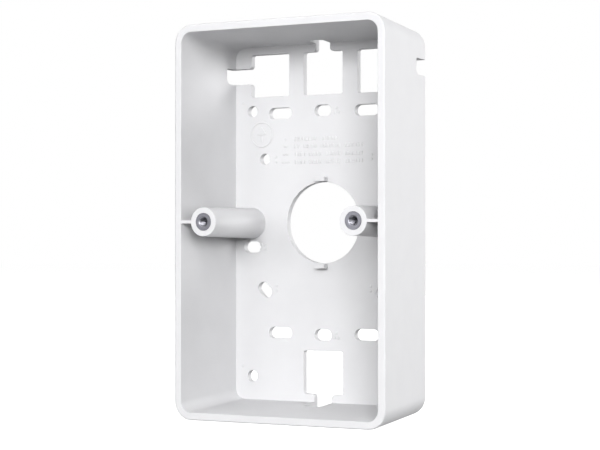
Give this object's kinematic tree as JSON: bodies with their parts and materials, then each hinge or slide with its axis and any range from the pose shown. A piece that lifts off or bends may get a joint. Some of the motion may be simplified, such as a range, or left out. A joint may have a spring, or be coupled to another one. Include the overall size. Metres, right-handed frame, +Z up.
{
  "type": "doorbell back box",
  "caption": "Surface-mount back box for a video doorbell: an open drafted tray with cable entries, screw slots for wall boxes, and threaded posts at the front.",
  "frame": {"origin": "on the wall plane, at the axis of the big cable hole in the back plate", "axes": "+Z up, +Y into the wall, the open front faces -Y, +X to the right as seen from the front"},
  "size_m": [0.0848, 0.0384, 0.1436],
  "materials": {
    "shell_plastic": "moulded satin white plastic with a fine spark texture",
    "insert_metal": "turned and plated grey metal, with a machine thread"
  },
  "bodies": {
    "root": {"box_shell": "shell_plastic", "left_insert": "insert_metal", "right_insert": "insert_metal"}
  },
  "joints": []
}
